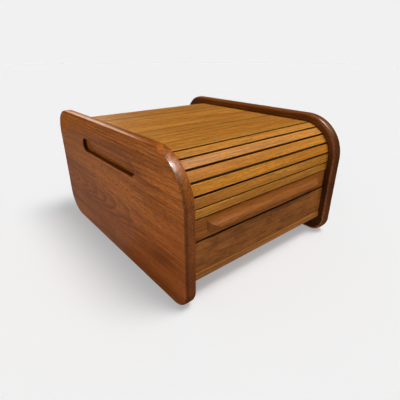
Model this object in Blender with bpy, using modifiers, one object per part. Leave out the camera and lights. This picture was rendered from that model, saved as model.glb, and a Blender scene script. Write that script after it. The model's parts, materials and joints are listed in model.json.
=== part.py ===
"""Bread box with a roll top: two side panels, a fixed lower front, and a tambour of wooden slats.

Metres, +Z up. The origin is on the floor, below the middle of the box. The front faces -Y.
The tambour runs in a groove in each side panel: up the front, round the front corner, along
the top, round the rear corner and down behind the inner back panel. The track line is the
inner face of the slats. A station on it is the distance along it from the lead bar's lower
edge in the closed position.
"""

import math

import bmesh
import bpy
from mathutils import Matrix, Vector

# Driving dimensions, in metres
WIDTH, DEPTH, HEIGHT = 0.284, 0.345, 0.180
SIDE_THICK = 0.0155
SIDE_ROUND = 0.0030          # rounding of the side panels' long edges
CORNER_FRONT_TOP, CORNER_REAR = 0.059, 0.037
CORNER_FRONT_LOW = 0.023
BOARD_BEVEL = 0.0008         # on the apron's and the bottom board's edges
GAP = 0.0003                 # between pieces that meet
INNER_X = WIDTH / 2 - SIDE_THICK

# Tambour
SLAT_THICK = 0.006
SLAT_PITCH, SLAT_SPACE = 0.0126, 0.0007
SLAT_COUNT = 29
SLAT_HALF = INNER_X - 0.0005
CHAMFER_OUT, CHAMFER_IN = 0.0015, 0.0012
TRAVEL = 0.093
BAR_WIDTH = 0.0255
BAR_HALF = INNER_X - 0.0028
BAR_LOW_Z = 0.0785

# Track line of the slats' inner faces
TRACK_FRONT_Y, TRACK_REAR_Y = -0.1555, 0.1555
TRACK_TOP_Z, TRACK_RADIUS = 0.163, 0.042
RISE = TRACK_TOP_Z - TRACK_RADIUS - BAR_LOW_Z
ARC = TRACK_RADIUS * math.pi / 2
TOP_START = RISE + ARC
TOP_END = TOP_START + (TRACK_REAR_Y - TRACK_FRONT_Y) - 2 * TRACK_RADIUS
BACK_START = TOP_END + ARC
SNAP = 0.0015                # a slat this close to the flat top counts as on it

# Groove for the tambour's ends
GROOVE_DEPTH = 0.004
GROOVE_IN, GROOVE_OUT = -0.0006, SLAT_THICK + 0.0006
GROOVE_LOW_Z = 0.0375
GROOVE_START = -0.0005       # station of the groove's front end, just below the lead bar

# Lead bar's carved pull, as height above the bar's lower edge and distance out from its face
NOSE_UP, NOSE_OUT = 0.0138, 0.0104
PULL_LOW, PULL_HALF = 0.0085, 0.1043
NOSE_RADIUS = 0.0014
HOLLOW_DROP = 0.0012         # from the bar's top edge to where the pull's hollow begins

# Canvas behind the slats, from its front face to its back face inwards of the track
CANVAS_FACES = (-GAP, -0.0009)
CANVAS_HALF, CANVAS_SHORT = 0.1215, 0.001

# Fixed boards
APRON_Z = (0.0373, 0.0773)
APRON_THICK = 0.008
BOARD_Z = (0.027, 0.037)
BOARD_FRONT_Y = -0.1622
BACK_Y, BACK_TOP_Z = (0.1681, 0.1719), 0.147
REBATE = 0.004
INNER_BACK_Y, INNER_BACK_TOP_Z = (0.141, 0.147), 0.122

# Finger recess in each side panel's outer face
RECESS_CENTRE = (-0.0020, 0.1408)
RECESS_LENGTH, RECESS_HEIGHT, RECESS_DEPTH = 0.152, 0.0185, 0.0058

# Dowels and screws
DOWEL_RADIUS, DOWEL_LENGTH, DOWEL_SLACK = 0.0025, 0.0196, 0.0003
DOWEL_X = 0.1266
APRON_DOWEL_Z = (0.047, 0.067)
BOARD_DOWEL_Y = (-0.110, 0.0, 0.110)
SCREW_X = (-0.095, 0.0, 0.095)
SCREW_HEAD, SCREW_SHANK, SCREW_LENGTH = 0.0032, 0.0015, 0.0185
SCREW_CONE = 0.0022
SCREW_SINK = 0.0003
SLOT_WIDTH, SLOT_DEPTH = 0.0007, 0.0007

# Colours (linear RGB) and roughness
TEAK_SIDE = ((0.200, 0.075, 0.026, 1), 0.35)
TEAK_SLAT = ((0.330, 0.140, 0.030, 1), 0.45)
TEAK_BAR = ((0.230, 0.085, 0.026, 1), 0.40)
TEAK_APRON = ((0.180, 0.070, 0.022, 1), 0.45)
PLY = ((0.300, 0.160, 0.070, 1), 0.60)
BEECH = ((0.520, 0.330, 0.170, 1), 0.60)
CANVAS = ((0.420, 0.360, 0.260, 1), 0.90)
BRASS = ((0.600, 0.420, 0.170, 1), 0.35)

ARC_STEPS = 8
OVER = 0.002                 # how far a helper reaches past the surface that it cuts or joins


def clear_scene():
    for obj in list(bpy.data.objects):
        bpy.data.objects.remove(obj, do_unlink=True)


def new_collection(name, helper=False):
    collection = bpy.data.collections.new(name)
    bpy.context.scene.collection.children.link(collection)
    collection.hide_render = helper
    return collection


def material(name, look, metallic=0.0):
    made = bpy.data.materials.new(name)
    made.use_nodes = True
    shader = made.node_tree.nodes["Principled BSDF"]
    shader.inputs["Base Color"].default_value = look[0]
    shader.inputs["Roughness"].default_value = look[1]
    shader.inputs["Metallic"].default_value = metallic
    return made


def keep(obj, finish):
    """Puts a finished piece in the object's collection with its material."""
    PARTS.objects.link(obj)
    obj.data.materials.clear()
    obj.data.materials.append(finish)
    return obj


def mesh_object(name, bm):
    mesh = bpy.data.meshes.new(name)
    bmesh.ops.recalc_face_normals(bm, faces=bm.faces)
    bm.to_mesh(mesh)
    bm.free()
    return bpy.data.objects.new(name, mesh)


def box_mesh(name, low, high):
    """A box between two corners, with its origin at its middle."""
    bm = bmesh.new()
    bmesh.ops.create_cube(bm, size=1)
    size = [b - a for a, b in zip(low, high)]
    bmesh.ops.scale(bm, vec=size, verts=bm.verts)
    obj = mesh_object(name, bm)
    obj.location = [(a + b) / 2 for a, b in zip(low, high)]
    return obj


def rod_mesh(name, radius, low_x, high_x, y, z, sides=12):
    """A cylinder along X."""
    bm = bmesh.new()
    bmesh.ops.create_cone(bm, cap_ends=True, segments=sides, radius1=radius, radius2=radius,
                          depth=high_x - low_x)
    obj = mesh_object(name, bm)
    obj.rotation_euler = (0, math.pi / 2, 0)
    obj.location = ((low_x + high_x) / 2, y, z)
    return obj


def outline_mesh(name, points, low_x, high_x):
    """A flat outline in (Y, Z), as a filled 2D curve extruded along X, made a mesh."""
    curve = bpy.data.curves.new(name, "CURVE")
    curve.dimensions, curve.fill_mode = "2D", "BOTH"
    curve.extrude = (high_x - low_x) / 2
    spline = curve.splines.new("POLY")
    spline.points.add(len(points) - 1)
    for point, (y, z) in zip(spline.points, points):
        point.co = (y, z, 0, 1)
    spline.use_cyclic_u = True
    guide = bpy.data.objects.new(name + "_outline", curve)
    bpy.context.scene.collection.objects.link(guide)
    # Local X, Y, Z of the curve become world Y, Z, X.
    guide.matrix_world = (Matrix.Translation(((low_x + high_x) / 2, 0, 0))
                          @ Matrix(((0, 0, 1, 0), (1, 0, 0, 0), (0, 1, 0, 0), (0, 0, 0, 1))))
    graph = bpy.context.evaluated_depsgraph_get()
    mesh = bpy.data.meshes.new_from_object(guide.evaluated_get(graph))
    bm = bmesh.new()
    bm.from_mesh(mesh)
    bmesh.ops.remove_doubles(bm, verts=bm.verts, dist=1e-6)
    bmesh.ops.recalc_face_normals(bm, faces=bm.faces)
    bm.to_mesh(mesh)
    bm.free()
    made = bpy.data.objects.new(name, mesh)
    made.matrix_world = guide.matrix_world
    bpy.data.objects.remove(guide, do_unlink=True)
    return made


def cut(obj, cutter):
    """Cuts a helper out of a piece with a Boolean."""
    CUTTERS.objects.link(cutter)
    cutter.hide_render = True
    cutter.display_type = "WIRE"
    modifier = obj.modifiers.new(cutter.name, "BOOLEAN")
    modifier.operation, modifier.solver = "DIFFERENCE", "EXACT"
    modifier.object = cutter


def bevel(obj, width, segments=1, angle=math.radians(40)):
    modifier = obj.modifiers.new("edges", "BEVEL")
    modifier.width, modifier.segments = width, segments
    modifier.limit_method, modifier.angle_limit = "ANGLE", angle
    modifier.use_clamp_overlap = False   # or the short steps of a round corner would narrow it


def arc(centre, radius, first, last, steps=ARC_STEPS):
    """Points on an arc in (Y, Z), angles in degrees from +Y towards +Z."""
    angles = [math.radians(first + (last - first) * i / steps) for i in range(steps + 1)]
    return [(centre[0] + radius * math.cos(a), centre[1] + radius * math.sin(a)) for a in angles]


# --- Track ---------------------------------------------------------------------------------

def track(station, offset=0.0):
    """(y, z, slope) of the track line at a station, moved outwards by offset; slope in radians."""
    radius = TRACK_RADIUS
    if station <= RISE:
        y, z, slope = TRACK_FRONT_Y, BAR_LOW_Z + station, math.pi / 2
    elif station < TOP_START - SNAP:
        turn = (station - RISE) / radius
        y = TRACK_FRONT_Y + radius - radius * math.cos(turn)
        z, slope = TRACK_TOP_Z - radius + radius * math.sin(turn), math.pi / 2 - turn
    elif station <= TOP_END:
        y, z, slope = TRACK_FRONT_Y + radius + station - TOP_START, TRACK_TOP_Z, 0.0
    elif station <= BACK_START:
        turn = (station - TOP_END) / radius
        y = TRACK_REAR_Y - radius + radius * math.sin(turn)
        z, slope = TRACK_TOP_Z - radius + radius * math.cos(turn), -turn
    else:
        y, z, slope = TRACK_REAR_Y, TRACK_TOP_Z - radius - (station - BACK_START), -math.pi / 2
    return y - math.sin(slope) * offset, z + math.cos(slope) * offset, slope


def track_line(first, last, offset):
    """Points along the track between two stations, with the round corners as arcs."""
    front = [RISE + ARC * i / ARC_STEPS for i in range(ARC_STEPS)] + [TOP_START]
    rear = [TOP_END + ARC * i / ARC_STEPS for i in range(ARC_STEPS + 1)]
    inside = [s for s in front + rear if first < s < last]
    return [track(s, offset)[:2] for s in [first] + inside + [last]]


def band(first, last, offset_in, offset_out):
    """Closed outline of a strip that follows the track."""
    return track_line(first, last, offset_out) + track_line(first, last, offset_in)[::-1]


def slat_station(number):
    return BAR_WIDTH + (number - 0.5) * SLAT_PITCH


def turn_pole(station):
    """(y, z, angle) of the turn that takes a slat from its closed place to its open place."""
    y0, z0, slope0 = track(station)
    y1, z1, slope1 = track(station + TRAVEL)
    angle = slope1 - slope0
    middle = Vector(((y0 + y1) / 2, (z0 + z1) / 2))
    across = Vector((-(z1 - z0), y1 - y0)) / (2 * math.tan(angle / 2))
    return middle.x + across.x, middle.y + across.y, angle


# --- Fixed pieces --------------------------------------------------------------------------

def side_outline():
    y, h = DEPTH / 2, HEIGHT
    a, b, c = CORNER_FRONT_TOP, CORNER_REAR, CORNER_FRONT_LOW
    return (arc((-y + a, h - a), a, 180, 90) + arc((y - b, h - b), b, 90, 0)
            + arc((y - b, b), b, 0, -90) + arc((-y + c, c), c, -90, -180))


def stadium(centre, length, height):
    radius, reach = height / 2, (length - height) / 2
    y, z = centre
    return arc((y + reach, z), radius, 90, -90) + arc((y - reach, z), radius, -90, -270)


def side_panel(side, name):
    """One side panel, with its rounded edges, grooves, rebate, recess and dowel holes."""
    low, high = sorted((side * INNER_X, side * WIDTH / 2))
    panel = outline_mesh(name, side_outline(), low, high)
    bevel(panel, SIDE_ROUND, 2)
    inner, outer = side * INNER_X, side * WIDTH / 2

    def span(depth):
        return sorted((inner - side * OVER, inner + side * depth))

    groove_end = BACK_START + TRACK_TOP_Z - TRACK_RADIUS - GROOVE_LOW_Z
    cut(panel, outline_mesh(name + "_groove", band(GROOVE_START, groove_end, GROOVE_IN, GROOVE_OUT),
                            *span(GROOVE_DEPTH)))
    recess = sorted((outer - side * RECESS_DEPTH, outer + side * OVER))
    cut(panel, outline_mesh(name + "_recess", stadium(RECESS_CENTRE, RECESS_LENGTH, RECESS_HEIGHT),
                            *recess))
    low, high = span(REBATE)
    cut(panel, box_mesh(name + "_rebate", (low, BACK_Y[0] - GAP, BOARD_Z[0] - GAP),
                        (high, DEPTH / 2 + OVER, BACK_TOP_Z + GAP)))
    cut(panel, box_mesh(name + "_slot", (low, INNER_BACK_Y[0] - GAP, BOARD_Z[1]),
                        (high, INNER_BACK_Y[1] + GAP, INNER_BACK_TOP_Z + GAP)))
    for number, (y, z) in enumerate(dowel_places()):
        low, high = sorted((inner - side * OVER, side * (DOWEL_X + DOWEL_LENGTH / 2 + 2 * GAP)))
        cut(panel, rod_mesh(f"{name}_hole_{number}", DOWEL_RADIUS + DOWEL_SLACK, low, high, y, z))
    return keep(panel, WOOD_SIDE)


def dowel_places():
    """(y, z) of each dowel in one side: the apron's, then the bottom board's."""
    apron_y = TRACK_FRONT_Y - SLAT_THICK + APRON_THICK / 2
    board_z = sum(BOARD_Z) / 2
    return [(apron_y, z) for z in APRON_DOWEL_Z] + [(y, board_z) for y in BOARD_DOWEL_Y]


def drill_dowels(obj, places):
    """Blind holes in both ends of a board."""
    for side in (-1, 1):
        low, high = sorted((side * (DOWEL_X - DOWEL_LENGTH / 2 - 2 * GAP), side * (INNER_X + OVER)))
        for number, (y, z) in enumerate(places):
            cut(obj, rod_mesh(f"{obj.name}_end_{side + 1}_{number}", DOWEL_RADIUS + DOWEL_SLACK,
                              low, high, y, z))


def dowels():
    names = ["apron_dowel_low", "apron_dowel_high", "board_dowel_front", "board_dowel_middle",
             "board_dowel_rear"]
    for side, word in ((-1, "left"), (1, "right")):
        x = side * DOWEL_X
        for name, (y, z) in zip(names, dowel_places()):
            pin = rod_mesh(f"{word}_{name}", DOWEL_RADIUS, x - DOWEL_LENGTH / 2,
                           x + DOWEL_LENGTH / 2, y, z, sides=10)
            keep(pin, BEECH_WOOD)


def screw_places():
    """(name, head point, direction) of each screw: three up into the apron, three into the board."""
    apron_y = TRACK_FRONT_Y - SLAT_THICK + APRON_THICK / 2
    words = ("left", "middle", "right")
    below = [(f"apron_screw_{w}", Vector((x, apron_y, BOARD_Z[0] + SCREW_SINK)), Vector((0, 0, 1)))
             for w, x in zip(words, SCREW_X)]
    behind = [(f"back_screw_{w}", Vector((x, BACK_Y[1] - SCREW_SINK, sum(BOARD_Z) / 2)),
               Vector((0, -1, 0))) for w, x in zip(words, SCREW_X)]
    return below + behind


def turned(name, profile, steps, head, direction):
    """A profile of (radius, height) turned round an axis that starts at head."""
    bm = bmesh.new()
    points = [bm.verts.new((radius, 0, height)) for radius, height in profile]
    for a, b in zip(points, points[1:]):
        bm.edges.new((a, b))
    mesh = bpy.data.meshes.new(name)
    bm.to_mesh(mesh)
    bm.free()
    obj = bpy.data.objects.new(name, mesh)
    turn = obj.modifiers.new("turn", "SCREW")
    turn.steps = turn.render_steps = steps
    turn.use_merge_vertices, turn.merge_threshold = True, 1e-6
    obj.location = head
    obj.rotation_euler = direction.to_track_quat("Z", "Y").to_euler()
    return obj


def screw_profile(slack, length, above):
    """Countersunk screw from its tip down to its head, or its clearance hole with some slack."""
    cone_top = SCREW_CONE + slack
    return [(0, length + slack), (SCREW_SHANK + slack, length - SCREW_SHANK),
            (SCREW_SHANK + slack, cone_top), (SCREW_HEAD + slack, 0), (SCREW_HEAD + slack, -above),
            (0, -above)]


def screws(boards):
    """The screws, their holes in the boards that they join, and the slot in each head."""
    for name, head, direction in screw_places():
        outline = screw_profile(0, SCREW_LENGTH, 0)
        del outline[4]
        piece = turned(name, outline, 12, head, direction)
        pair = boards["apron"] if direction.z else boards["back"]
        for board in pair:
            hole = turned(f"{name}_hole_{board.name}", screw_profile(GAP, SCREW_LENGTH, OVER), 12,
                          head, direction)
            cut(board, hole)
        corner = Vector((SCREW_HEAD + OVER, SLOT_WIDTH / 2, SLOT_DEPTH))
        groove = box_mesh(name + "_slot", -corner, corner)
        groove.matrix_world = (Matrix.Translation(head) @ direction.to_track_quat("Z", "Y")
                               .to_matrix().to_4x4())
        cut(piece, groove)
        keep(piece, BRASS_METAL)


def boards():
    """Bottom board, apron, back panel and inner back panel, with the holes for their fixings."""
    half = INNER_X - GAP
    face = TRACK_FRONT_Y - SLAT_THICK
    bottom = box_mesh("bottom_board", (-half, BOARD_FRONT_Y, BOARD_Z[0]),
                      (half, BACK_Y[0] - GAP, BOARD_Z[1]))
    apron = box_mesh("front_apron", (-half, face, APRON_Z[0]),
                     (half, face + APRON_THICK, APRON_Z[1]))
    for board, places in ((bottom, dowel_places()[2:]), (apron, dowel_places()[:2])):
        bevel(board, BOARD_BEVEL)
        drill_dowels(board, places)
    in_rebate = INNER_X + REBATE - GAP
    back = box_mesh("back_panel", (-in_rebate, BACK_Y[0], BOARD_Z[0]),
                    (in_rebate, BACK_Y[1], BACK_TOP_Z))
    inner = box_mesh("inner_back_panel", (-in_rebate, INNER_BACK_Y[0], BOARD_Z[1] + GAP),
                     (in_rebate, INNER_BACK_Y[1], INNER_BACK_TOP_Z))
    screws({"apron": (bottom, apron), "back": (back, bottom)})
    keep(bottom, WOOD_APRON)
    keep(apron, WOOD_APRON)
    keep(back, PLYWOOD)
    keep(inner, PLYWOOD)


# --- Tambour -------------------------------------------------------------------------------

def section(width):
    """Outline of a slat across its length: along the track, then outwards; corners chamfered."""
    half, thick = width / 2, SLAT_THICK
    a, b = CHAMFER_IN, CHAMFER_OUT
    return [(-half, a), (-half + a, 0), (half - a, 0), (half, a),
            (half, thick - b), (half - b, thick), (-half + b, thick), (-half, thick - b)]


def on_body(obj, empty, station):
    """Places a piece at its station on the track and parents it to its body's empty."""
    y, z, slope = track(station)
    obj.matrix_world = (Matrix.Translation((0, y, z)) @ Matrix.Rotation(slope, 4, "X")
                        @ obj.matrix_world)
    obj.parent = empty
    obj.matrix_parent_inverse = Matrix.Translation(-Vector(empty.location))


def body_empty(name, location=(0, 0, 0)):
    empty = bpy.data.objects.new(name, None)
    empty.empty_display_size = 0.01
    empty.location = location
    PARTS.objects.link(empty)
    return empty


def slat_bodies():
    """The empty that each slat and, as number 0, the lead bar rides on.

    Pieces that go from one straight stretch to another keep their place to each other and share
    a body. Every other piece turns about its own pole.
    """
    straight = (math.pi / 2, 0.0, -math.pi / 2)
    stations = [BAR_WIDTH / 2] + [slat_station(number) for number in range(1, SLAT_COUNT + 1)]
    shared, riders = {}, []
    for number, station in enumerate(stations):
        here, there = track(station)[2], track(station + TRAVEL)[2]
        rigid = here in straight and there in straight
        key = (here, there) if rigid else number
        if key not in shared:
            place = (0, 0, 0) if here == there else (0, *turn_pole(station)[:2])
            shared[key] = body_empty(f"tambour_body_{len(shared) + 1:02d}", place)
        riders.append(shared[key])
    return riders


def slats(riders):
    for number in range(1, SLAT_COUNT + 1):
        name = f"slat_{number:02d}"
        slat = outline_mesh(name, section(SLAT_PITCH - SLAT_SPACE), -SLAT_HALF, SLAT_HALF)
        on_body(slat, riders[number], slat_station(number))
        keep(slat, WOOD_SLAT)


def pull_section():
    """Outline of the pull: a hollow sweeping out from the bar's top edge to a round nose."""
    face, root = SLAT_THICK, SLAT_THICK - OVER
    top = BAR_WIDTH / 2 - SLAT_SPACE / 2 - HOLLOW_DROP
    nose_up = NOSE_UP - BAR_WIDTH / 2
    low = PULL_LOW - BAR_WIDTH / 2
    steps = 6
    hollow = []
    for i in range(steps + 1):
        turn = math.pi / 2 * i / steps
        hollow.append((top - (top - nose_up - NOSE_RADIUS) * math.sin(turn),
                       face + (NOSE_OUT - NOSE_RADIUS) * (1 - math.cos(turn))))
    nose = arc((nose_up, face + NOSE_OUT - NOSE_RADIUS), NOSE_RADIUS, 0, 150, 4)
    outline = [(top, root)] + hollow + nose[1:] + [(low, face), (low, root)]
    return outline


def lead_bar(empty):
    """The bar at the tambour's lower edge, with the pull carved on it in one piece."""
    bar = outline_mesh("lead_bar", section(BAR_WIDTH - SLAT_SPACE), -BAR_HALF, BAR_HALF)
    pull = outline_mesh("lead_bar_pull", pull_section(), -PULL_HALF, PULL_HALF)
    for vertex in pull.data.vertices:
        # The pull's ends are cut back at 45 degrees, more the further out. The mesh's Z is X.
        vertex.co.z -= math.copysign(vertex.co.y - SLAT_THICK, vertex.co.z)
    CUTTERS.objects.link(pull)
    pull.hide_render = True
    pull.display_type = "WIRE"
    on_body(pull, empty, BAR_WIDTH / 2)
    on_body(bar, empty, BAR_WIDTH / 2)
    join = bar.modifiers.new("pull", "BOOLEAN")
    join.operation, join.solver, join.object = "UNION", "EXACT", pull
    keep(bar, WOOD_BAR)


def canvas():
    """Cloth glued behind the slats, from the lead bar to the last slat."""
    last = BAR_WIDTH + SLAT_COUNT * SLAT_PITCH - CANVAS_SHORT
    front, back = CANVAS_FACES
    cloth = outline_mesh("canvas_backing", band(CANVAS_SHORT, last, back, front),
                         -CANVAS_HALF, CANVAS_HALF)
    keep(cloth, CLOTH)


clear_scene()
PARTS = new_collection("bread_box")
CUTTERS = new_collection("cutters", helper=True)
WOOD_SIDE = material("teak_side", TEAK_SIDE)
WOOD_SLAT = material("teak_slat", TEAK_SLAT)
WOOD_BAR = material("teak_bar", TEAK_BAR)
WOOD_APRON = material("teak_apron", TEAK_APRON)
PLYWOOD = material("plywood", PLY)
BEECH_WOOD = material("beech", BEECH)
CLOTH = material("canvas", CANVAS)
BRASS_METAL = material("brass", BRASS, metallic=1.0)

side_panel(-1, "left_side_panel")
side_panel(1, "right_side_panel")
boards()
dowels()
tambour_bodies = slat_bodies()
slats(tambour_bodies)
lead_bar(tambour_bodies[0])
canvas()
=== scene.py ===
"""Looks of the bread box with a roll top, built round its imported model.

Metres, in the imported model's own frame: +Z up, the front with the pull faces -Y. Each fine piece
takes its place from the node that it stands for. The tambour's track line is the inner face of
its slats, and a station on it is the distance along it from the lead bar's lower edge.
"""

import json
import math
import random

import bmesh
import bpy
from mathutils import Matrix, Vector


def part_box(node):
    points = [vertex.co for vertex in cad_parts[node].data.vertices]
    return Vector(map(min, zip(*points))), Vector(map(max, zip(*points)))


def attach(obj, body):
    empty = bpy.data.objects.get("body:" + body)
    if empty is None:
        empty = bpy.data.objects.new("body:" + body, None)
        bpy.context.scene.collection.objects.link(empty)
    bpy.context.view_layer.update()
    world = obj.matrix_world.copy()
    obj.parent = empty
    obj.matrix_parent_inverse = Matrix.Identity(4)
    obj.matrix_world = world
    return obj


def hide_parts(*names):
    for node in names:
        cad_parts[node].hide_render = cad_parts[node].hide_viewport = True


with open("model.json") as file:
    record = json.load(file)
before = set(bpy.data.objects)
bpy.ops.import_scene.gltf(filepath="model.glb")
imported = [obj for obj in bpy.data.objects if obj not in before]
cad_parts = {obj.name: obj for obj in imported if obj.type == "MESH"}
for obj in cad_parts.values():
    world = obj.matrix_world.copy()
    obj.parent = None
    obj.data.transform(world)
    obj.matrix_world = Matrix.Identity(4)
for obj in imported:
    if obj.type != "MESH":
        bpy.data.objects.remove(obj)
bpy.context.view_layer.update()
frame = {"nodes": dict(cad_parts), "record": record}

# --- Sizes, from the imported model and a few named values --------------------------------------

PANEL_LOW, PANEL_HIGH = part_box("left_side_panel")
DEPTH, HEIGHT = PANEL_HIGH.y - PANEL_LOW.y, PANEL_HIGH.z
OUTER_X, INNER_X = -PANEL_LOW.x, -PANEL_HIGH.x
CORNER_FRONT_TOP, CORNER_REAR, CORNER_FRONT_LOW = 0.059, 0.037, 0.023
ARRIS_OUT, ARRIS_IN = 0.0016, 0.0042   # radii of a side panel's outer and inner edge
SIDE_CROWN = 0.0006                    # how far the edge's middle stands out between them

GAP = 0.0003        # between pieces that meet
OVER = 0.002        # how far a cutter stands out of what it cuts
WELD = 0.000001     # points nearer to each other than this are one
SKIN = 0.0001       # a face this near to a plane lies on it
SHARP = 32          # degrees between faces from which an edge stays sharp

SLAT_SPACE = 0.0007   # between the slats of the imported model
SLAT_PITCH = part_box("slat_11")[0].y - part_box("slat_10")[0].y
SLAT_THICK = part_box("slat_10")[1].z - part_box("slat_10")[0].z
SLAT_NODES = sorted(name for name in frame["nodes"] if name.startswith("slat_"))
TRACK_FRONT_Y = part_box("slat_01")[1].y
TRACK_REAR_Y = -TRACK_FRONT_Y
TRACK_TOP_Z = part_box("slat_10")[0].z
TRACK_RADIUS = 0.042
BAR_LOW_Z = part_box("lead_bar")[0].z - SLAT_SPACE / 2
BAR_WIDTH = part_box("slat_01")[0].z - SLAT_SPACE / 2 - BAR_LOW_Z
BAR_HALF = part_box("lead_bar")[1].x
RISE = TRACK_TOP_Z - TRACK_RADIUS - BAR_LOW_Z
ARC = TRACK_RADIUS * math.pi / 2
TOP_START = RISE + ARC
TOP_END = TOP_START + (TRACK_REAR_Y - TRACK_FRONT_Y) - 2 * TRACK_RADIUS
BACK_START = TOP_END + ARC
SNAP = 0.0015   # a slat that is this near to the flat top lies flat

SLAT_HALF = INNER_X - 0.0003     # full section of a slat
TONGUE_HALF = INNER_X + 0.0035   # its thinner end, which runs in the groove
TONGUE = (0.0008, 0.0052)        # where the tongue lies in the slat's thickness
SLAT_GAP, FRONT_GAP = 0.0006, 0.0019   # between slats, and between the upright ones in front
EDGE_OUT, EDGE_IN = 0.0007, 0.0012     # a slat's outer radius and inner cut
CROWN = 0.00012                        # how far its middle stands out
SEAM = 0.0008                          # how far the painted shade of a seam, and the lead bar's painted highlight, reach over an edge

PULL_HALF = 0.1043                        # half of the pull's length where it leaves the bar
PULL_LOW, NOSE_UP = 0.0085, 0.0138        # its foot and its nose, above the bar's lower edge
NOSE_OUT, NOSE_RADIUS = 0.0104, 0.0015    # how far the nose stands out of the bar's face
PULL_EDGE, PULL_EDGE_ANGLE = 0.0004, 34   # rounding of the edges that are sharper than this

CANVAS_HALF, CANVAS_THICK = 0.1215, 0.0006
STRIP_SPARE = 0.0002   # how much narrower than a slat its strip of canvas is

GROOVE_DEPTH = 0.004
GROOVE = (-0.0006, SLAT_THICK + 0.0006)
GROOVE_LEAD = 0.0005   # how far the groove goes on past the lead bar, and stops short of the board
DOWEL_REACH = 0.0104   # from a dowel's middle to the end of its hole
RECESS_CENTRE = (-0.0020, 0.1408)
RECESS_LENGTH, RECESS_HEIGHT, RECESS_DEPTH = 0.152, 0.0185, 0.0058
RECESS_LIP, RECESS_FOOT = 0.0007, 0.0004   # radii at its mouth and at its floor
RECESS_PROUD = 0.0001                      # how far the lip's round starts outside the face
RECESS_SHADE = RECESS_LENGTH / 2 + 0.0005, RECESS_HEIGHT / 2 + 0.00055   # half size of its painted shade
ARRIS_REACH = 0.0035                       # how far the painted shade on a panel's front edge reaches in

SHANK, TIP, HEAD_ROUND = 0.0015, 0.0005, 0.0002                 # radii of a screw
NECK, TAPER, POINT, HEAD_EDGE = 0.0022, 0.0035, 0.001, 0.0003   # lengths along its axis
NOTCH_HALF, NOTCH_DEPTH, NOTCH_OVER = 0.0004, 0.0008, 0.001     # the slot in its head
AXIS = 0.00001                                                  # the smallest turned radius

# --- Colours, as sRGB values from 0 to 255 ----------------------------------------------------

PANEL_WOOD = ((212, 119, 36), (180, 93, 26), (109, 50, 11))
SLAT_WOOD = ((221, 146, 40), (193, 119, 26), (132, 76, 15))
BAR_WOOD = ((169, 102, 38), (147, 82, 23), (94, 48, 13))
APRON_WOOD = ((170, 102, 40), (140, 81, 28), (90, 47, 14))
BOARD_WOOD = ((175, 111, 46), (148, 90, 34), (99, 55, 19))
BACK_WOOD = ((168, 111, 58), (143, 89, 43), (103, 59, 27))
BEECH_WOOD = ((206, 170, 124), (184, 142, 96), (140, 98, 62))
COTTON = ((150, 132, 100), (194, 178, 146), (172, 150, 112))
BRASS_METAL = ((206, 172, 104), (142, 104, 52))

# Noises of the grain: scales along and twice across it, detail and roughness.
GRAIN = {
    "sway": ((5, 16, 16), 3.0, 0.5),
    "ripple": ((14, 90, 90), 2.0, 0.5),
    "late": ((3, 22, 22), 2.0, 0.5),
    "cloud": ((3.2, 12, 12), 3.0, 0.5),
    "streak": ((4, 75, 75), 3.0, 0.6),
    "fibre": ((22, 620, 620), 3.0, 0.6),
    "pores": ((48, 1350, 1350), 1.0, 0.5),
    "dash": ((150, 720, 720), 2.0, 0.6),
    "vein": ((3.5, 430, 430), 3.0, 0.65),
    "patch": ((26, 60, 60), 3.0, 0.65),
    "wander": ((14, 190, 190), 3.0, 0.6),
}
SLAT_TONES = (0.86, 1.12)                     # how bright the slats are
FRONT_SLATS, FRONT_SHADE = 2, 0.86             # the upright ones, darker by this painted shade
SWAY, RIPPLE, WANDER = 0.022, 0.0022, 2.2     # how strongly these three move the lines
SHIFTS = (0.53, 0.31, 0.17)                   # what one unit of grain_shift moves the grain by
STREAKS, PORES = 0.4, 0.45                    # how strongly these two darken the wood
PLIES_PER_METRE = 790
LOW_SHADE_FROM, LOW_SHADE_TO = 0.150, 0.105     # heights between which painted shade darkens the inner face
GRAIN_STEP = 1.37                             # grain_shift from one slat to the next
THREAD = 0.0011                               # spacing of the canvas's threads


def linear(colour):
    """An sRGB colour, 0 to 255, as linear RGBA."""
    parts = [value / 255 for value in colour]
    parts = [v / 12.92 if v <= 0.04045 else ((v + 0.055) / 1.055) ** 2.4 for v in parts]
    return (*parts, 1.0)


# --- Mesh helpers -----------------------------------------------------------------------------

def finished(name, bm):
    """An object from a bmesh, with its double points joined and its faces turned out."""
    bmesh.ops.remove_doubles(bm, verts=bm.verts, dist=WELD)
    bmesh.ops.recalc_face_normals(bm, faces=bm.faces)
    mesh = bpy.data.meshes.new(name)
    bm.to_mesh(mesh)
    bm.free()
    obj = bpy.data.objects.new(name, mesh)
    bpy.context.scene.collection.objects.link(obj)
    return obj


def loft(name, rings):
    """A closed skin over rings of points; each ring has as many points as the last."""
    bm = bmesh.new()
    rows = [[bm.verts.new(point) for point in ring] for ring in rings]
    for row, following in zip(rows, rows[1:]):
        for i in range(len(row)):
            j = (i + 1) % len(row)
            bm.faces.new((row[i], row[j], following[j], following[i]))
    bm.faces.new(rows[0][::-1])
    bm.faces.new(rows[-1])
    return finished(name, bm)


def prism(name, outline, low_x, high_x):
    """An outline in (Y, Z) stretched along X."""
    return loft(name, [[(x, y, z) for y, z in outline] for x in (low_x, high_x)])


def rectangle(low, high):
    """Outline in (Y, Z) of a box between two points."""
    return [low, (high[0], low[1]), high, (low[0], high[1])]


def arc(centre, radius, first, last, steps=20):
    """Points on an arc in (Y, Z), angles in degrees from +Y towards +Z."""
    angles = [math.radians(first + (last - first) * i / steps) for i in range(steps + 1)]
    return [(centre[0] + radius * math.cos(a), centre[1] + radius * math.sin(a)) for a in angles]


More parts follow.
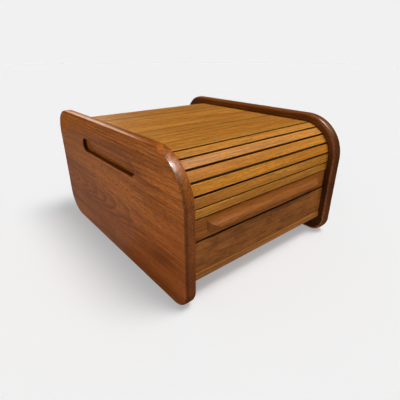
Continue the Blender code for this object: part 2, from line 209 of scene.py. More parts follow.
def rounded_box(low, high, radius, steps=4):
    """Outline in (Y, Z) of a box between two points, with round corners."""
    (y0, z0), (y1, z1), r = low, high, radius
    return (arc((y0 + r, z0 + r), r, 180, 270, steps) + arc((y1 - r, z0 + r), r, 270, 360, steps)
            + arc((y1 - r, z1 - r), r, 0, 90, steps) + arc((y0 + r, z1 - r), r, 90, 180, steps))


def bevel(obj, width, angle):
    """Rounds the edges whose faces meet at more than an angle in degrees."""
    modifier = obj.modifiers.new("edges", "BEVEL")
    modifier.width = width
    modifier.segments = 2
    modifier.limit_method = "ANGLE"
    modifier.angle_limit = math.radians(angle)
    apply_modifiers(obj)


def cut(obj, cutter):
    """Cuts one mesh out of another, and removes the cutter."""
    modifier = obj.modifiers.new("cut", "BOOLEAN")
    modifier.operation = "DIFFERENCE"
    modifier.solver = "EXACT"
    modifier.object = cutter
    apply_modifiers(obj)
    bpy.data.objects.remove(cutter, do_unlink=True)


def apply_modifiers(obj):
    graph = bpy.context.evaluated_depsgraph_get()
    mesh = bpy.data.meshes.new_from_object(obj.evaluated_get(graph))
    obj.modifiers.clear()
    obj.data = mesh


def smooth(obj):
    """Smooth shading with flat faces kept flat."""
    obj.data.shade_smooth()
    obj.data.set_sharp_from_angle(angle=math.radians(SHARP))
    weights = obj.modifiers.new("flat faces", "WEIGHTED_NORMAL")
    weights.keep_sharp = True


BODY_OF = {node: body for body, nodes in frame["record"]["behaviour"]["bodies"].items()
           for node in nodes}


def paint_light(obj, measure):
    """Stores painted shade on each face, 0 to 1, from its middle and normal; -1 is a painted
    highlight.
    """
    faces = obj.data.polygons
    values = [measure(face.center, face.normal) for face in faces]
    obj.data.attributes.new("paint_light", "FLOAT", "FACE").data.foreach_set("value", values)


def stand_for(obj, node, finish, shift=0.0, tone=1.0):
    """Gives a fine piece its material and lets it take the place of a node."""
    obj.data.materials.clear()
    obj.data.materials.append(finish)
    obj["grain_shift"] = shift
    obj["tone"] = tone
    smooth(obj)
    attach(obj, BODY_OF[node])
    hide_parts(node)


# --- Materials --------------------------------------------------------------------------------

class Shader:
    """A material whose nodes are added one after another."""

    def __init__(self, name):
        self.material = bpy.data.materials.new(name)
        self.material.use_nodes = True
        self.nodes = self.material.node_tree.nodes
        self.links = self.material.node_tree.links
        self.surface = self.nodes["Principled BSDF"]

    def feed(self, socket, value):
        if isinstance(value, bpy.types.NodeSocket):
            self.links.new(value, socket)
        else:
            socket.default_value = value

    def math(self, operation, a, b=0.0):
        node = self.nodes.new("ShaderNodeMath")
        node.operation = operation
        self.feed(node.inputs[0], a)
        self.feed(node.inputs[1], b)
        return node.outputs[0]

    def times(self, a, b):
        return self.math("MULTIPLY", a, b)

    def mix(self, factor, a, b):
        node = self.nodes.new("ShaderNodeMix")
        node.data_type = "RGBA"
        self.feed(node.inputs[0], factor)
        self.feed(node.inputs[6], a)
        self.feed(node.inputs[7], b)
        return node.outputs[2]

    def span(self, value, low, high, to_low=0.0, to_high=1.0):
        """A value from low to high, smoothly turned into one from to_low to to_high."""
        node = self.nodes.new("ShaderNodeMapRange")
        node.interpolation_type = "SMOOTHSTEP"
        self.feed(node.inputs[0], value)
        for socket, number in zip(node.inputs[1:5], (low, high, to_low, to_high)):
            socket.default_value = number
        return node.outputs[0]

    def length(self, a, b):
        return self.math("SQRT", self.math("ADD", self.times(a, a), self.times(b, b)))

    def painted_light(self):
        """The painted shade, or below 0 the painted highlight, stored on the face."""
        node = self.nodes.new("ShaderNodeAttribute")
        node.attribute_name = "paint_light"
        return node.outputs["Fac"]

    def own(self, name):
        """A number that each piece holds for itself."""
        node = self.nodes.new("ShaderNodeAttribute")
        node.attribute_type = "OBJECT"
        node.attribute_name = name
        return node.outputs["Fac"]

    def place(self):
        """X, Y and Z of the point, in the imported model's frame at rest."""
        node = self.nodes.new("ShaderNodeTexCoord")
        parts = self.nodes.new("ShaderNodeSeparateXYZ")
        self.links.new(node.outputs["Object"], parts.inputs[0])
        return list(parts.outputs)

    def point(self, x, y, z):
        node = self.nodes.new("ShaderNodeCombineXYZ")
        for socket, value in zip(node.inputs, (x, y, z)):
            self.feed(socket, value)
        return node.outputs[0]

    def facing(self, axis):
        """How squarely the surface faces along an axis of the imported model, 0 to 1."""
        node = self.nodes.new("ShaderNodeTexCoord")
        parts = self.nodes.new("ShaderNodeSeparateXYZ")
        self.links.new(node.outputs["Normal"], parts.inputs[0])
        return self.math("ABSOLUTE", parts.outputs[axis])

    def stretched(self, parts, scales):
        return self.point(*[self.times(part, scale) for part, scale in zip(parts, scales)])

    def noise(self, vector, detail=2.0, roughness=0.5):
        node = self.nodes.new("ShaderNodeTexNoise")
        self.links.new(vector, node.inputs["Vector"])
        node.inputs["Scale"].default_value = 1.0
        node.inputs["Detail"].default_value = detail
        node.inputs["Roughness"].default_value = roughness
        return node.outputs["Fac"]

    def scaled(self, colour, factor):
        node = self.nodes.new("ShaderNodeVectorMath")
        node.operation = "SCALE"
        self.links.new(colour, node.inputs[0])
        self.feed(node.inputs["Scale"], factor)
        return node.outputs[0]

    def grain(self, parts, name):
        """One of the noises of the grain, at a point given along and twice across it."""
        scales, detail, roughness = GRAIN[name]
        return self.noise(self.stretched(parts, scales), detail, roughness)

    def finish(self, colour, roughness, height, relief, specular, coat=0.0):
        """Joins colour, roughness and bump to the surface; gloss that is uniform stays on it."""
        self.links.new(colour, self.surface.inputs["Base Color"])
        self.feed(self.surface.inputs["Roughness"], roughness)
        self.surface.inputs["Specular IOR Level"].default_value = specular
        self.surface.inputs["Coat Weight"].default_value = coat
        self.surface.inputs["Coat Roughness"].default_value = 0.10
        bump = self.nodes.new("ShaderNodeBump")
        bump.inputs["Strength"].default_value = 0.6
        bump.inputs["Distance"].default_value = relief
        self.links.new(height, bump.inputs["Height"])
        self.links.new(bump.outputs[0], self.surface.inputs["Normal"])
        return self.material


def teak(name, palette, along, pith, lean, ring, figure, roughness, specular=0.15,
         coat=0.0, blotch=0.0, fleck=0.3, veins=0.35, end=0.72, layers=False,
         marks=(), low_painted_shade=False):
    """Teak sawn from a log: growth rings round a pith, dark streaks, fine fibres and pores.

    along is the axis of the grain, 0 for X and 1 for Y. pith is the log's middle as (along, first
    across, second across), and lean is how much it leans out of the board, which draws the arches.
    ring is the width of a year, and figure, blotch, fleck and veins say how dark their lines are.
    end is how bright the end grain is, and layers shows the plies on a board's long edges. Each of
    the marks is a dark cloud: (middle along, middle across, half length, half width, tilt, depth).
    The last argument darkens the lower part of a side panel's inner face with painted shade.
    """
    light, mid, dark = [linear(colour) for colour in palette]
    s = Shader(name)
    shift = s.own("grain_shift")
    place = s.place()
    order = (0, 1, 2) if along == 0 else (1, 2, 0)
    parts = [s.math("MULTIPLY_ADD", shift, k) for k in SHIFTS]
    for part, axis in zip(parts, order):
        s.links.new(place[axis], part.node.inputs[2])

    late = late_wood(s, parts, pith, lean, ring)
    cloud = s.span(s.grain(parts, "cloud"), 0.34, 0.66)
    streak = s.span(s.grain(parts, "streak"), 0.52, 0.74)
    fibre = s.grain(parts, "fibre")
    pores = s.span(s.grain(parts, "pores"), 0.60, 0.72)
    dash = s.span(s.grain(parts, "dash"), 0.50, 0.68)
    vein = s.span(s.grain(parts, "vein"), 0.46, 0.64)

    colour = s.mix(cloud, light, mid)
    if blotch:
        patch = s.span(s.grain(parts, "patch"), 0.42, 0.68)
        colour = s.mix(s.times(patch, blotch), colour, dark)
    for lines, amount in ((late, figure), (streak, STREAKS), (pores, PORES), (dash, fleck),
                          (vein, veins)):
        colour = s.mix(s.times(lines, amount), colour, dark)
    if marks:
        wander = s.times(s.grain(parts, "wander"), WANDER)
    for mark in marks:
        colour = s.mix(dark_cloud(s, parts, wander, *mark), colour, dark)
    if layers:
        ply = s.math("GREATER_THAN", s.math("FRACT", s.times(place[1], PLIES_PER_METRE)), 0.5)
        on_edge = s.math("GREATER_THAN", s.facing(2), 0.7)
        colour = s.mix(on_edge, colour, s.mix(ply, light, dark))

    shade = s.times(s.span(fibre, 0.3, 0.7, 0.82, 1.16), s.own("tone"))
    shade = s.times(shade, s.span(s.facing(along), 0.45, 0.95, 1.0, end))
    # Painted shade and painted highlight from the faces: above 0 darkens, below 0 brightens.
    painted_light_amount = s.painted_light()
    shade = s.times(shade, s.span(painted_light_amount, 0.0, 1.0, 1.0, 0.12))
    shade = s.times(shade, s.span(painted_light_amount, -1.0, 0.0, 2.0, 1.0))
    # Painted shade low on the inner face of a side panel.
    if low_painted_shade:
        low = s.span(place[2], LOW_SHADE_FROM, LOW_SHADE_TO)
        inner = s.math("LESS_THAN", s.math("ABSOLUTE", place[0]), INNER_X + 2 * SKIN)
        shade = s.times(shade, s.span(s.times(low, inner), 0.0, 1.0, 1.0, 0.35))
    colour = s.scaled(colour, shade)
    gloss = s.span(fibre, 0.3, 0.7, roughness - 0.05, roughness + 0.08)
    height = s.math("SUBTRACT", fibre, s.times(pores, 0.6))
    return s.finish(colour, gloss, height, 0.00012, specular, coat)


def late_wood(s, parts, pith, lean, ring):
    """How much of the late, dark wood of a year there is at a point."""
    sway = s.math("SUBTRACT", s.grain(parts, "sway"), 0.5)
    ripple = s.math("SUBTRACT", s.grain(parts, "ripple"), 0.5)
    first = s.math("SUBTRACT", parts[1], pith[1])
    leaning = s.times(s.math("SUBTRACT", parts[0], pith[0]), lean)
    second = s.math("ADD", s.math("SUBTRACT", parts[2], pith[2]), leaning)
    radius = s.length(first, second)
    radius = s.math("ADD", radius, s.times(sway, SWAY))
    radius = s.math("ADD", radius, s.times(ripple, RIPPLE))
    year = s.math("FRACT", s.math("DIVIDE", radius, ring))
    late = s.times(s.span(year, 0.25, 0.88), s.span(year, 1.0, 0.9))
    return s.times(late, s.span(s.grain(parts, "late"), 0.32, 0.62))


def dark_cloud(s, parts, wander, at, across, reach, width, tilt, depth):
    """How dark one mark is at a point: depth inside it, fading to 0 along a wandering edge."""
    a = s.math("SUBTRACT", parts[0], at)
    b = s.math("SUBTRACT", s.math("SUBTRACT", parts[1], across), s.times(a, tilt))
    far = s.length(s.math("DIVIDE", a, reach), s.math("DIVIDE", b, width))
    return s.times(s.span(s.math("ADD", far, wander), 2.2, 1.2), depth)


def beech(name):
    light, dark, ray = [linear(colour) for colour in BEECH_WOOD]
    s = Shader(name)
    place = s.place()
    fibre = s.noise(s.stretched(place, (60, 900, 900)), 3.0)
    fleck = s.span(s.noise(s.stretched(place, (150, 1500, 1500)), 1.0), 0.6, 0.7)
    colour = s.mix(s.times(fleck, 0.5), s.mix(fibre, light, dark), ray)
    return s.finish(colour, s.span(fibre, 0.3, 0.7, 0.55, 0.7), fibre, 0.0001, 0.25)


def canvas(name):
    """Unbleached cotton in a plain weave, warp along the track and weft along X."""
    low, high, thick = [linear(colour) for colour in COTTON]
    s = Shader(name)
    x, y, z = s.place()
    along = s.math("SUBTRACT", z, s.math("ABSOLUTE", y))
    turns = 2 * math.pi / THREAD
    warp = s.math("SINE", s.times(x, turns))
    weft = s.math("SINE", s.times(along, turns))
    weave = s.times(warp, weft)
    slub = s.noise(s.stretched((x, y, z), (900, 90, 90)), 3.0)
    stain = s.noise(s.stretched((x, y, z), (25, 40, 40)), 3.0)
    colour = s.mix(s.times(slub, 0.5), s.mix(s.span(weave, -1, 1), low, high), thick)
    colour = s.scaled(colour, s.span(stain, 0.3, 0.7, 0.82, 1.05))
    return s.finish(colour, s.span(slub, 0.3, 0.7, 0.85, 0.97), weave, 0.0002, 0.1)


def brass(name):
    bright, dull = [linear(colour) for colour in BRASS_METAL]
    s = Shader(name)
    place = s.place()
    tarnish = s.span(s.noise(s.stretched(place, (700, 700, 700)), 4.0), 0.35, 0.7)
    scratch = s.noise(s.stretched(place, (300, 5000, 900)), 2.0)
    colour = s.mix(tarnish, bright, dull)
    s.surface.inputs["Metallic"].default_value = 1.0
    return s.finish(colour, s.span(tarnish, 0, 1, 0.26, 0.5), scratch, 0.00004, 0.5)


# --- Track ------------------------------------------------------------------------------------

def track(station):
    """(y, z, slope) of the track line at a station; the slope is a quarter turn at the front."""
    radius = TRACK_RADIUS
    if station <= RISE:
        return TRACK_FRONT_Y, BAR_LOW_Z + station, math.pi / 2
    if station < TOP_START - SNAP:
        turn = (station - RISE) / radius
        return (TRACK_FRONT_Y + radius - radius * math.cos(turn),
                TRACK_TOP_Z - radius + radius * math.sin(turn), math.pi / 2 - turn)
    if station <= TOP_END:
        return TRACK_FRONT_Y + radius + station - TOP_START, TRACK_TOP_Z, 0.0
    if station <= BACK_START:
        turn = (station - TOP_END) / radius
        return (TRACK_REAR_Y - radius + radius * math.sin(turn),
                TRACK_TOP_Z - radius + radius * math.cos(turn), -turn)
    return TRACK_REAR_Y, TRACK_TOP_Z - radius - (station - BACK_START), -math.pi / 2


def slat_station(number):
    """The station of a slat's middle, counted from the lead bar."""
    return BAR_WIDTH + (number - 0.5) * SLAT_PITCH


def on_track(station, x, ahead, out):
    """The point at x that lies ahead along the track's slope and out from its line."""
    y, z, slope = track(station)
    return (x, y + math.cos(slope) * ahead - math.sin(slope) * out,
            z + math.sin(slope) * ahead + math.cos(slope) * out)


def track_line(first, last, out, steps=24):
    """Points in (Y, Z) along the track between two stations, moved outwards."""
    front = [RISE + ARC * i / steps for i in range(steps)] + [TOP_START]
    rear = [TOP_END + ARC * i / steps for i in range(steps + 1)]
    inside = [s for s in front + rear if first < s < last]
    return [on_track(s, 0, 0, out)[1:] for s in [first] + inside + [last]]


# --- Side panels ------------------------------------------------------------------------------

def side_outline(inset):
    """The side panel's outline, moved inwards by inset."""
    y, h = DEPTH / 2, HEIGHT
    a, b, c = CORNER_FRONT_TOP, CORNER_REAR, CORNER_FRONT_LOW
    return (arc((-y + a, h - a), a - inset, 180, 90) + arc((y - b, h - b), b - inset, 90, 0)
            + arc((y - b, b), b - inset, 0, -90) + arc((-y + c, c), c - inset, -90, -180))


def side_edge():
    """(distance from the outer face, inset) across the panel's edge: arris, low crown, round."""
    thick = OUTER_X - INNER_X
    outer = [ARRIS_OUT * (1 - math.cos(math.pi / 2 * i / 5)) for i in range(6)]
    inner = [thick - ARRIS_IN * (1 - math.sin(math.pi / 2 * i / 7)) for i in range(8)]
    middle = [ARRIS_OUT + (thick - ARRIS_IN - ARRIS_OUT) * i / 4 for i in (1, 2, 3)]
    points = []
    for d in outer + middle + inner:
        crown = SIDE_CROWN * (2 * d / thick - 1) ** 2
        near = ARRIS_OUT - max(0, min(ARRIS_OUT, d))
        far = max(0, d - (thick - ARRIS_IN))
        inset = (ARRIS_OUT - math.sqrt(max(0, ARRIS_OUT ** 2 - near ** 2))
                 + ARRIS_IN - math.sqrt(max(0, ARRIS_IN ** 2 - far ** 2)))
        points.append((d, crown + inset))
    return points


def stadium(half_length, half_height):
    """Outline of the recess: a long box with half-round ends."""
    y, z = RECESS_CENTRE
    reach = half_length - half_height
    return (arc((y + reach, z), half_height, 90, -90)
            + arc((y - reach, z), half_height, -90, -270))


def recess_cutter(side):
    """The finger recess as a solid: a round lip at the face, straight walls, a round floor edge."""
    rings = []
    lip, foot = RECESS_LIP, RECESS_FOOT
    for i in range(5):
        turn = math.pi / 2 * i / 4
        rings.append((-RECESS_PROUD + lip * (1 - math.cos(turn)), lip * (1 - math.sin(turn))))
    for i in range(5):
        turn = math.pi / 2 * i / 4
        rings.append((RECESS_DEPTH - foot + foot * math.sin(turn), -foot * (1 - math.cos(turn))))
    half_length, half_height = RECESS_LENGTH / 2, RECESS_HEIGHT / 2
    rows = [[(side * (OUTER_X - depth), y, z)
             for y, z in stadium(half_length + grown, half_height + grown)]
            for depth, grown in [(-OVER, lip)] + rings]
    return loft("recess", rows)


def side_panel(side, node, finish, tone):
    """Side panel with round edges, the tambour's groove, the back's rebate and a finger recess."""
    panel = loft(node + "_fine", [[(side * (OUTER_X - d), y, z) for y, z in side_outline(inset)]
                                  for d, inset in side_edge()])
    depth = sorted((side * (INNER_X - OVER), side * (INNER_X + GROOVE_DEPTH)))
    rear_line = TRACK_TOP_Z - TRACK_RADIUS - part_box("bottom_board")[1].z
    groove_end = BACK_START + rear_line - GROOVE_LEAD
    band = (track_line(-GROOVE_LEAD, groove_end, GROOVE[1])
            + track_line(-GROOVE_LEAD, groove_end, GROOVE[0])[::-1])
    cut(panel, prism("groove", band, *depth))
    cut(panel, recess_cutter(side))
    for name in ("back_panel", "inner_back_panel"):
        low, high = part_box(name)
        rear = DEPTH / 2 + OVER if name == "back_panel" else high.y + GAP
        outline = rectangle((low.y - GAP, low.z - GAP), (rear, high.z + GAP))
        cut(panel, prism("slot", outline, *depth))
    for pin in [name for name in frame["nodes"] if "dowel" in name]:
        middle = sum(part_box(pin), Vector()) / 2
        if middle.x * side > 0:
            reach = sorted((side * (INNER_X - OVER), side * (abs(middle.x) + DOWEL_REACH)))
            cut(panel, dowel_hole(pin, *reach))
    paint_light(panel, panel_painted_shade)
    stand_for(panel, node, finish, 0.0 if side < 0 else 0.9, tone)


def dowel_hole(pin, low_x, high_x):
    """A dowel's hole as a solid, with 24 sides."""
    low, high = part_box(pin)
    middle = (low + high) / 2
    radius = (high.y - low.y) / 2 + GAP
    return prism("hole", arc((middle.y, middle.z), radius, 0, 345, 23), low_x, high_x)


def panel_painted_shade(middle, normal):
    """Painted shade in the finger recess's walls, on the front's outer arris and on the inner face.
    """
    y, z = RECESS_CENTRE
    half_length, half_height = RECESS_SHADE
    in_recess = abs(middle.y - y) < half_length and abs(middle.z - z) < half_height
    if in_recess and abs(middle.x) > INNER_X + GROOVE_DEPTH:
        ledge = normal.z > 0.8
        return (0.78 if ledge else 0.95) * (1 - abs(normal.x))
    if normal.y < -0.3 and OUTER_X - ARRIS_REACH < abs(middle.x) < OUTER_X - SKIN:
        return 0.4
    return 0.5 if abs(middle.x) < INNER_X + SKIN else 0.0


# --- Boards -----------------------------------------------------------------------------------

def board(node, radius, finish, shift):
    """A fixed board with softened long edges, and holes for its dowels and screws."""
    low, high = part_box(node)
    outline = rounded_box((low.y, low.z), (high.y, high.z), radius)
    plank = prism(node + "_fine", outline, low.x, high.x)
    for pin in frame["nodes"]:
        pin_low, pin_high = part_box(pin)
        if any(pin_high[i] < low[i] or pin_low[i] > high[i] for i in range(3)):
            continue
        if "dowel" in pin:
            cut(plank, dowel_hole(pin, pin_low.x - GAP, pin_high.x + GAP))
        if "screw" in pin:
            cut(plank, turned("hole", pin, screw_profile(pin, GAP, OVER)))
    # Painted shade along a board's top edge under the lead bar, in the gap between them.
    under_bar = high.z > BAR_LOW_Z - 0.005
    paint_light(plank, lambda middle, normal: 0.9 if under_bar and middle.z > high.z - SEAM else 0.0)
    stand_for(plank, node, finish, shift)


# --- Tambour ----------------------------------------------------------------------------------

def slat_section(width):
    """Outline of a slat as (ahead, out): a low crown with round edges, small cuts inside."""
    half, thick = width / 2, SLAT_THICK
    edge = [(half - EDGE_OUT + y, thick - EDGE_OUT + z) for y, z in arc((0, 0), EDGE_OUT, 0, 90, 4)]
    edge = [(ahead, out - CROWN) for ahead, out in edge]
    crown = [(half * k, thick - CROWN * k * k) for k in (0.6, 0.3, 0.0)]
    right = edge + crown
    left = [(-ahead, out) for ahead, out in right[:-1]][::-1]
    return ([(-half + EDGE_IN, 0), (half - EDGE_IN, 0), (half, EDGE_IN)] + right + left
            + [(-half, EDGE_IN)])


def slat(number, node, finish, tone):
    """A slat with a thinner tongue at each end, which runs in the side panel's groove."""
    station = slat_station(number)
    in_front = track(station)[2] == math.pi / 2
    section = slat_section(SLAT_PITCH - (FRONT_GAP if in_front else SLAT_GAP))
    tongue = [(ahead, min(max(out, TONGUE[0]), TONGUE[1])) for ahead, out in section]
    stops = [(-TONGUE_HALF, tongue), (-SLAT_HALF, tongue), (-SLAT_HALF, section)]
    stops += [(-x, outline) for x, outline in stops[::-1]]
    rings = [[on_track(station, x, ahead, out) for ahead, out in outline] for x, outline in stops]
    piece = loft(node + "_fine", rings)
    out = Vector(on_track(station, 0, 0, 1)) - Vector(on_track(station, 0, 0, 0))
    ahead = Vector(on_track(station, 0, 1, 0)) - Vector(on_track(station, 0, 0, 0))
    paint_light(piece, lambda middle, normal: slat_painted_light(normal @ out, normal @ ahead, in_front))
    stand_for(piece, node, finish, number * GRAIN_STEP, tone)


def slat_painted_light(out, ahead, in_front):
    """Painted shade between the slats. Those in front have painted shade at their lower edge and a
    painted highlight at the upper.
    """
    if in_front and ahead > 0 and 0.5 < out < 0.98:
        return -1.0
    return 0.85 if out < (0.985 if in_front else 0.5) else 0.0


def bar_section():
    """Outline of the lead bar with its pull: a hollow sweeps out from the top edge to a nose."""
    half, face = (BAR_WIDTH - SLAT_GAP) / 2, SLAT_THICK
    top = half - EDGE_OUT
    nose_up, low = NOSE_UP - BAR_WIDTH / 2, PULL_LOW - BAR_WIDTH / 2
    reach = NOSE_OUT - NOSE_RADIUS
    hollow = []
    for i in range(13):
        turn = math.pi / 2 * i / 12
        hollow.append((top - (top - nose_up - NOSE_RADIUS) * math.sin(turn),
                       face + reach * (1 - math.cos(turn))))
    nose = arc((nose_up, face + reach), NOSE_RADIUS, 0, 150, 8)[1:]
    upper = [(half - EDGE_OUT + y, face - EDGE_OUT + z) for y, z in arc((0, 0), EDGE_OUT, 0, 80, 3)]
    lower = [(-ahead, out) for ahead, out in upper][::-1]
    return ([(-half + EDGE_IN, 0), (half - EDGE_IN, 0), (half, EDGE_IN)] + upper + hollow + nose
            + [(low, face)] + [(-half + EDGE_OUT, face)] + lower + [(-half, EDGE_IN)])


def lead_bar(finish):
    """The bar at the tambour's lower edge. The pull's ends are cut back at 45 degrees."""
    section = bar_section()
    plain = [(ahead, min(out, SLAT_THICK)) for ahead, out in section]
    half = []
    for x, outline in ((BAR_HALF, plain), (PULL_HALF, plain), (PULL_HALF, section)):
        half.append([(x - (max(out - SLAT_THICK, 0)), ahead, out) for ahead, out in outline])
    mirrored = [[(-x, ahead, out) for x, ahead, out in ring] for ring in half]
    rings = [[on_track(BAR_WIDTH / 2, *point) for point in ring] for ring in mirrored + half[::-1]]
    bar = loft("lead_bar_fine", rings)
    bevel(bar, PULL_EDGE, PULL_EDGE_ANGLE)
    paint_light(bar, bar_painted_light)
    stand_for(bar, "lead_bar", finish, 0.4)


def bar_painted_light(middle, normal):
    """Painted shade on the lower edge and inside, a painted highlight on the top edge of the face.
    """
    if middle.z < BAR_LOW_Z + 0.0009 or middle.y > TRACK_FRONT_Y - 0.002:
        return 0.95
    near_top = middle.z > BAR_LOW_Z + BAR_WIDTH - 0.0014
    near_face = middle.y < TRACK_FRONT_Y - SLAT_THICK + SEAM
    return -1.0 if near_top and near_face and normal.z > 0.2 else 0.0


def canvas_strip(name, station, width, node, finish):
    """The stretch of canvas glued behind one slat; the next slat's strip goes on from it."""
    half = width / 2
    outline = rectangle((-half, -GAP - CANVAS_THICK), (half, -GAP))
    rings = [[on_track(station, x, ahead, out) for ahead, out in outline]
             for x in (-CANVAS_HALF, CANVAS_HALF)]
    strip = loft(name, rings)
    strip.data.materials.append(finish)
    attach(strip, BODY_OF[node])
    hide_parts("canvas_backing")


# --- Screws and dowels ------------------------------------------------------------------------

def upright(node):
    """Whether a screw stands up; the others lie along Y, with their head at the back."""
    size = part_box(node)[1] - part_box(node)[0]
    return size.z > size.y


def screw_profile(node, slack=0.0, above=0.0):
    """(radius, distance from the head's face) of a screw, or of its hole with some slack."""
    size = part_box(node)[1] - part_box(node)[0]
    head, length = size.x / 2, size.z if upright(node) else size.y
    if slack:
        return [(0, length + slack), (SHANK + slack, length - POINT), (SHANK + slack, NECK + slack),
                (head + slack, 0), (head + slack, -above), (0, -above)]
    return [(0, length), (TIP, length - POINT), (SHANK, length - TAPER), (SHANK, NECK),
            (head - HEAD_ROUND, HEAD_EDGE), (head, HEAD_EDGE / 2), (head - HEAD_ROUND, 0), (0, 0)]


def turned(name, node, profile, sides=32):
    """A profile turned round a screw's axis."""
    low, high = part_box(node)
    middle = (low + high) / 2
    rings = []
    for r, depth in profile:
        ring = []
        for i in range(sides):
            turn = 2 * math.pi * i / sides
            a, b = max(r, AXIS) * math.cos(turn), max(r, AXIS) * math.sin(turn)
            if upright(node):
                ring.append((middle.x + a, middle.y + b, low.z + depth))
            else:
                ring.append((middle.x + a, high.y - depth, middle.z + b))
        rings.append(ring)
    return loft(name, rings)


def screw(node, finish):
    """Countersunk screw with a slot across its head."""
    low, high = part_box(node)
    middle = (low + high) / 2
    body = turned(node + "_fine", node, screw_profile(node))
    if upright(node):
        notch = rectangle((middle.y - NOTCH_HALF, low.z - NOTCH_OVER),
                          (middle.y + NOTCH_HALF, low.z + NOTCH_DEPTH))
    else:
        notch = rectangle((high.y - NOTCH_DEPTH, middle.z - NOTCH_HALF),
                          (high.y + NOTCH_OVER, middle.z + NOTCH_HALF))
    cut(body, prism("notch", notch, low.x - NOTCH_OVER, high.x + NOTCH_OVER))
    stand_for(body, node, finish)


# --- Stage, light and camera ------------------------------------------------------------------

BACKDROP = 0.8796   # linear value of the pale backdrop
SKY = 0.22
SUNS = {
    "key": {"strength": 2.1, "towards": (-0.26, 0.26, -0.93), "spread": 28},
    "fill": {"strength": 0.40, "towards": (0.80, 0.45, -0.40), "spread": 60},
}
GLEAMS = {   # seen only as reflections
    "glint": {"strength": 1.3, "towards": (-0.30, 0.20, -0.90), "spread": 6, "colour": (1, 1, 1)},
    "rim": {"strength": 0.10, "towards": (-0.29, -0.91, -0.30), "spread": 14,
            "colour": (1, 0.86, 0.70)},
    "sheen": {"strength": 0.5, "towards": (-0.62, 0.34, -0.70), "spread": 44,
              "colour": (1, 0.72, 0.32)},
    "bounce": {"strength": 0.022, "towards": (0.25, -0.89, 0.40), "spread": 24,
               "colour": (1, 0.95, 0.85)},
}
FLOOR_SHADE = (0.665, 0.640, 0.630)   # a little warm, against the wood's own glow in the shadow
FLOOR_RADIUS, DOME_RADIUS = 9, 9.5
CAMERA_PLACE, CAMERA_DOWN, CAMERA_RIGHT = (-0.2976, -0.3846, 0.2619), 25.09, 39.44   # degrees
CAMERA_LENS = 28.41


def sun(name, strength, towards, spread, colour=(1, 1, 1)):
    light = bpy.data.lights.new(name, "SUN")
    light.energy = strength
    light.angle = math.radians(spread)
    light.color = colour
    lamp = bpy.data.objects.new(name, light)
    lamp.rotation_euler = Vector(towards).to_track_quat("-Z", "Y").to_euler()
    bpy.context.scene.collection.objects.link(lamp)
    return lamp


def sunlight(strength, towards, spread):
    """Brightness that a sun adds to a white floor."""
    return strength / math.pi * abs(Vector(towards).normalized().z)


def plain(name, colour, emission):
    made = bpy.data.materials.new(name)
    made.use_nodes = True
    surface = made.node_tree.nodes["Principled BSDF"]
    surface.inputs["Base Color"].default_value = (*colour, 1)
    surface.inputs["Roughness"].default_value = 1.0
    surface.inputs["Specular IOR Level"].default_value = 0.0
    surface.inputs["Emission Color"].default_value = (*emission, 1)
    surface.inputs["Emission Strength"].default_value = 1.0
    return made


def stage():
    """A round pale floor, and a pale dome round it that only the camera sees.

    The floor glows by what the lights leave short of the backdrop, so that the two meet unseen.
    """
    bm = bmesh.new()
    bmesh.ops.create_circle(bm, cap_ends=True, segments=96, radius=FLOOR_RADIUS)
    floor = finished("floor", bm)
    light = SKY + sum(sunlight(**values) for values in SUNS.values())
    glow = [BACKDROP - shade * light for shade in FLOOR_SHADE]
    floor.data.materials.append(plain("floor", FLOOR_SHADE, glow))
    bm = bmesh.new()
    bmesh.ops.create_uvsphere(bm, u_segments=48, v_segments=24, radius=DOME_RADIUS)
    dome = finished("backdrop", bm)
    dome.data.materials.append(plain("backdrop", (0, 0, 0), (BACKDROP, BACKDROP, BACKDROP)))
    dome.visible_diffuse = False
    dome.visible_transmission = False
    for shell in (floor, dome):
        shell.visible_glossy = False
        shell.visible_shadow = False


def lights():
    world = bpy.data.worlds.new("soft sky")
    world.use_nodes = True
    background = world.node_tree.nodes["Background"]
    background.inputs[0].default_value = (1, 1, 1, 1)
    background.inputs[1].default_value = SKY
    world.cycles_visibility.glossy = False
    bpy.context.scene.world = world
    for name, values in SUNS.items():
        sun(name, **values)
    for name, values in GLEAMS.items():
        sun(name, **values).visible_diffuse = False


def camera():
    lens = bpy.data.cameras.new("camera")
    lens.lens = CAMERA_LENS
    lens.sensor_width = 36.0
    lens.clip_end = 100
    made = bpy.data.objects.new("camera", lens)
    made.location = CAMERA_PLACE
    made.rotation_euler = (math.radians(90 - CAMERA_DOWN), 0, math.radians(-CAMERA_RIGHT))
    bpy.context.scene.collection.objects.link(made)
    bpy.context.scene.camera = made
    bpy.context.scene.view_settings.view_transform = "Standard"


# --- The whole box ----------------------------------------------------------------------------

camera()
lights()
stage()

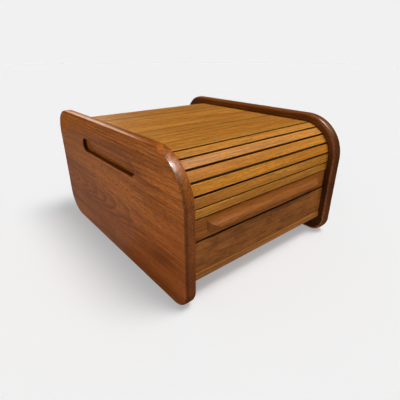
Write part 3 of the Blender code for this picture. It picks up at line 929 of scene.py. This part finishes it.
PANEL_MARKS = ((-0.085, 0.139, 0.065, 0.012, 0.15, 0.55),
               (-0.128, 0.050, 0.034, 0.012, -0.2, 0.55),
               (0.092, 0.052, 0.034, 0.014, 0.0, 0.35))
TEAK_SIDE = teak("teak_side_wood", PANEL_WOOD, along=1, pith=(0.21, 0.075, -0.142), lean=0.13,
                 ring=0.0040, figure=0.5, roughness=0.36, specular=0.35, coat=0.4, veins=0.48,
                 fleck=0.55, end=0.5, marks=PANEL_MARKS, low_painted_shade=True)
TEAK_SLAT = teak("teak_slat_wood", SLAT_WOOD, along=0, pith=(0.5, 0.03, 0.05), lean=0.03,
                 ring=0.0036, figure=0.30, roughness=0.42, specular=0.35, coat=0.12,
                 veins=0.25, fleck=0.5)
TEAK_BAR = teak("teak_bar_wood", BAR_WOOD, along=0, pith=(0.5, 0.03, 0.05), lean=0.05,
                ring=0.0040, figure=0.35, roughness=0.38)
TEAK_APRON = teak("teak_apron_wood", APRON_WOOD, along=0, pith=(0.4, -0.12, 0.05), lean=0.10,
                  ring=0.0050, figure=0.30, roughness=0.45, blotch=0.5, veins=0.2, fleck=0.5)
TEAK_BOARD = teak("teak_board_wood", BOARD_WOOD, along=0, pith=(0.3, -0.10, 0.0), lean=0.08,
                  ring=0.0042, figure=0.40, roughness=0.48)
PLY = teak("back_panel_plywood", BACK_WOOD, along=0, pith=(0.35, 0.12, 0.085), lean=0.12,
           ring=0.0060, figure=0.5, roughness=0.55, layers=True)
BEECH = beech("dowel_beech")
CANVAS = canvas("backing_canvas")
BRASS = brass("screw_brass")

side_panel(-1, "left_side_panel", TEAK_SIDE, tone=1.0)
side_panel(1, "right_side_panel", TEAK_SIDE, tone=0.6)
board("front_apron", 0.0012, TEAK_APRON, shift=0.3)
board("bottom_board", 0.0016, TEAK_BOARD, shift=0.7)
board("back_panel", 0.0006, PLY, shift=0.0)
board("inner_back_panel", 0.0006, PLY, shift=0.5)

chance = random.Random(11)
for count, slat_node in enumerate(SLAT_NODES, start=1):
    # The upright slats in front get painted shade.
    brightness = chance.uniform(*SLAT_TONES) * (FRONT_SHADE if count <= FRONT_SLATS else 1.0)
    slat(count, slat_node, TEAK_SLAT, brightness)
    canvas_strip(f"canvas_strip_{count:02d}", slat_station(count), SLAT_PITCH - STRIP_SPARE,
                 slat_node, CANVAS)
lead_bar(TEAK_BAR)
canvas_strip("canvas_strip_bar", BAR_WIDTH / 2, BAR_WIDTH - 2 * STRIP_SPARE, "lead_bar", CANVAS)

for node_name, node_object in frame["nodes"].items():
    if "screw" in node_name:
        screw(node_name, BRASS)
    if "dowel" in node_name:
        node_object.data.materials.clear()
        node_object.data.materials.append(BEECH)
